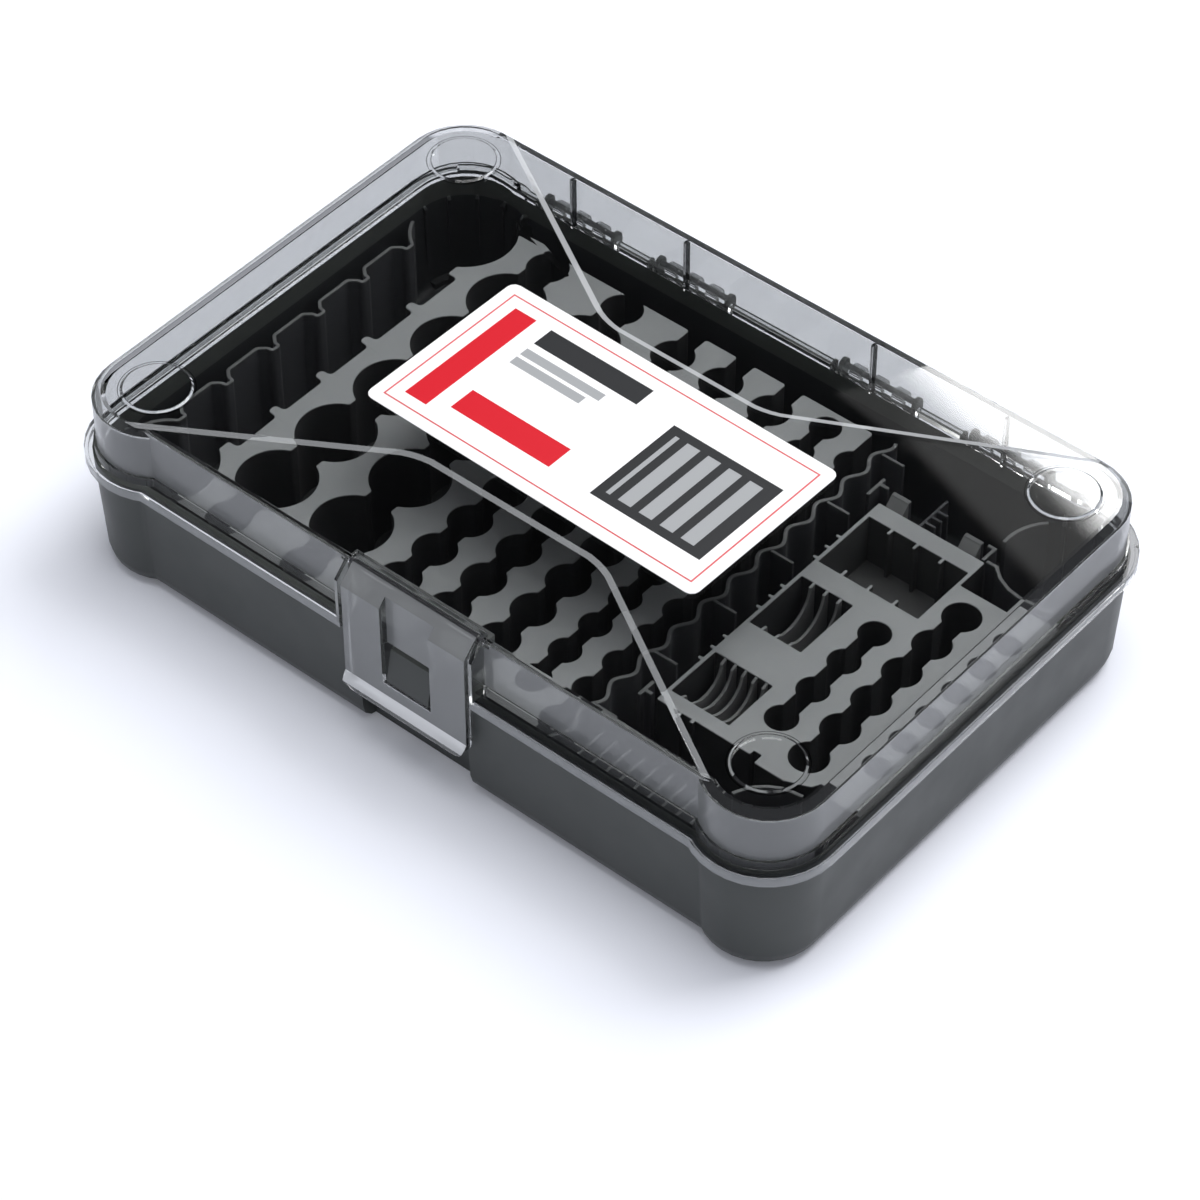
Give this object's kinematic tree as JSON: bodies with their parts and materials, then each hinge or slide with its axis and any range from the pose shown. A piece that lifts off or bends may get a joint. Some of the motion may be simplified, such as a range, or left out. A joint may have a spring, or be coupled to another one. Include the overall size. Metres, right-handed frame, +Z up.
{
  "type": "battery organizer",
  "caption": "Rectangular battery storage case: dark tub with well trays for several cell sizes and a hinged clear lid held shut by a clear flap latch.",
  "frame": {"origin": "on the ground, under the middle of the closed case's bounding box", "axes": "+X along the long side, -Y towards the latch at the front, +Z up"},
  "size_m": [0.295, 0.195, 0.07],
  "materials": {
    "tub_plastic": "dark grey moulded plastic, semi-gloss",
    "tray_plastic": "grey moulded plastic, fine matt texture",
    "hinge_bar": "dark moulded bar",
    "clear_lid": "clear plastic with a light smoke tint, glossy",
    "clear_latch": "clear plastic with a light smoke tint, glossy",
    "card": "printed card under a satin film",
    "pin_steel": "dark drawn wire"
  },
  "bodies": {
    "case": {"base_tub": "tub_plastic", "nine_volt_tray": "tray_plastic", "c_cell_tray": "tray_plastic", "aa_cell_tray": "tray_plastic", "aaa_cell_tray": "tray_plastic", "nine_volt_rack": "tray_plastic", "divider_wall": "tray_plastic", "side_tray": "tray_plastic", "small_cell_strip": "tray_plastic", "d_cell_wall_back_right": "tray_plastic", "d_cell_wall_front_right": "tray_plastic", "tester_cradle": "tray_plastic", "slot_rack": "tray_plastic", "hinge_pin_1": "hinge_bar", "hinge_pin_2": "hinge_bar", "hinge_pin_3": "hinge_bar", "hinge_pin_4": "hinge_bar"},
    "cover": {"lid": "clear_lid", "lid_card": "card", "latch_pin": "pin_steel"},
    "flap": {"latch": "clear_latch"}
  },
  "joints": [
    {"name": "lid_hinge", "type": "hinge", "parent": "case", "child": "cover", "pos_m": [0, 0.0952, 0.0475], "axis": [-1, 0, 0], "range_deg": [0, 110]},
    {"name": "latch_hinge", "type": "hinge", "parent": "cover", "child": "flap", "pos_m": [0, -0.088, 0.0676], "axis": [-1, 0, 0], "range_deg": [0, 95]}
  ]
}
